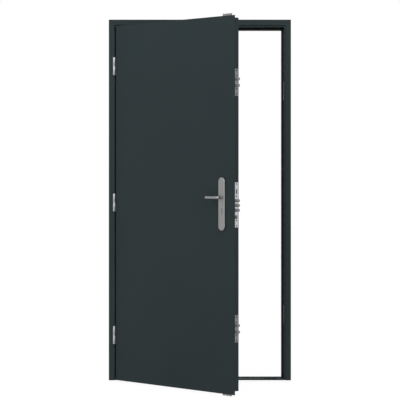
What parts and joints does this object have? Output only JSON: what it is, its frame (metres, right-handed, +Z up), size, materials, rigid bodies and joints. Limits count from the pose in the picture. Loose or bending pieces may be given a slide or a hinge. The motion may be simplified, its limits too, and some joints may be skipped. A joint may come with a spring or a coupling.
{
  "type": "steel utility door",
  "caption": "Outward-opening steel door in a folded frame with a low threshold: lipped leaf on butt hinges, lever handles, and a key lock that throws bolts on three sides.",
  "frame": {"origin": "middle of the threshold's underside, on the finished floor", "axes": "+X to the lock side, +Y into the building, +Z up"},
  "size_m": [1.02, 0.7843, 2.028],
  "materials": {
    "painted_steel": "anthracite grey powder coat, fine texture, low sheen",
    "seal_rubber": "matt black",
    "satin_steel": "satin stainless steel",
    "plated_steel": "bright plated steel",
    "bolt_steel": "plain machined steel",
    "hinge_steel": "satin stainless steel"
  },
  "bodies": {
    "frame": {"hinge_jamb": "painted_steel", "lock_jamb": "painted_steel", "head": "painted_steel", "threshold": "painted_steel", "hinge_seal": "seal_rubber", "lock_seal": "seal_rubber", "head_seal": "seal_rubber", "upper_keep": "plated_steel", "centre_keep": "painted_steel", "lower_keep": "plated_steel", "lower_hinge_frame_wing": "hinge_steel", "middle_hinge_frame_wing": "hinge_steel", "upper_hinge_frame_wing": "hinge_steel", "lower_hinge_pin": "hinge_steel", "middle_hinge_pin": "hinge_steel", "upper_hinge_pin": "hinge_steel"},
    "leaf": {"front_skin": "painted_steel", "back_tray": "painted_steel", "outside_plate": "satin_steel", "inside_plate": "satin_steel", "cylinder_body": "satin_steel", "centre_lock": "plated_steel", "upper_lock": "plated_steel", "lower_lock": "plated_steel", "top_bolt_guide": "plated_steel", "bottom_bolt_guide": "plated_steel", "lower_hinge_leaf_wing": "hinge_steel", "middle_hinge_leaf_wing": "hinge_steel", "upper_hinge_leaf_wing": "hinge_steel"},
    "lever_pair": {"outside_lever": "satin_steel", "inside_lever": "satin_steel", "spindle": "satin_steel"},
    "latch": {"latch": "bolt_steel"},
    "centre_bolts": {"centre_bolts": "bolt_steel"},
    "upper_bolts": {"upper_bolts": "bolt_steel"},
    "lower_bolts": {"lower_bolts": "bolt_steel"},
    "top_bolts": {"top_bolts": "bolt_steel"},
    "bottom_bolts": {"bottom_bolts": "bolt_steel"},
    "key_plug": {"cylinder_plug": "satin_steel"}
  },
  "joints": [
    {"name": "leaf_swing", "type": "hinge", "parent": "frame", "child": "leaf", "pos_m": [-0.48, -0.0525, 1], "axis": [0, 0, -1], "range_deg": [-46.5, 123.5]},
    {"name": "lever_turn", "type": "hinge", "parent": "leaf", "child": "lever_pair", "pos_m": [0.11811, -0.67188, 1.032], "axis": [-0.7254, -0.6884, 0], "range_deg": [0, 40], "stiffness_Nm_per_rad": 1.5, "springref_deg": -34.38},
    {"name": "latch_slide", "type": "slide", "parent": "leaf", "child": "latch", "axis": [-0.6884, 0.7254, 0], "range_m": [0, 0.011]},
    {"name": "centre_bolt_slide", "type": "slide", "parent": "leaf", "child": "centre_bolts", "axis": [-0.6884, 0.7254, 0], "range_m": [0, 0.018]},
    {"name": "upper_bolt_slide", "type": "slide", "parent": "leaf", "child": "upper_bolts", "axis": [-0.6884, 0.7254, 0], "range_m": [0, 0.018]},
    {"name": "lower_bolt_slide", "type": "slide", "parent": "leaf", "child": "lower_bolts", "axis": [-0.6884, 0.7254, 0], "range_m": [0, 0.018]},
    {"name": "top_bolt_slide", "type": "slide", "parent": "leaf", "child": "top_bolts", "axis": [0, 0, -1], "range_m": [0, 0.023]},
    {"name": "bottom_bolt_slide", "type": "slide", "parent": "leaf", "child": "bottom_bolts", "axis": [0, 0, 1], "range_m": [0, 0.0275]},
    {"name": "key_turn", "type": "hinge", "parent": "leaf", "child": "key_plug", "pos_m": [0.11811, -0.67188, 0.966], "axis": [-0.7254, -0.6884, 0], "range_deg": [0, 360]}
  ],
  "couplings": [
    {"joint": "latch_slide", "follows": "lever_turn", "m_per_rad": 0.015755},
    {"joint": "upper_bolt_slide", "follows": "centre_bolt_slide", "ratio": 1},
    {"joint": "lower_bolt_slide", "follows": "centre_bolt_slide", "ratio": 1},
    {"joint": "top_bolt_slide", "follows": "centre_bolt_slide", "ratio": 1.2776},
    {"joint": "bottom_bolt_slide", "follows": "centre_bolt_slide", "ratio": 1.5276},
    {"joint": "key_turn", "follows": "centre_bolt_slide", "rad_per_m": 349.03}
  ]
}
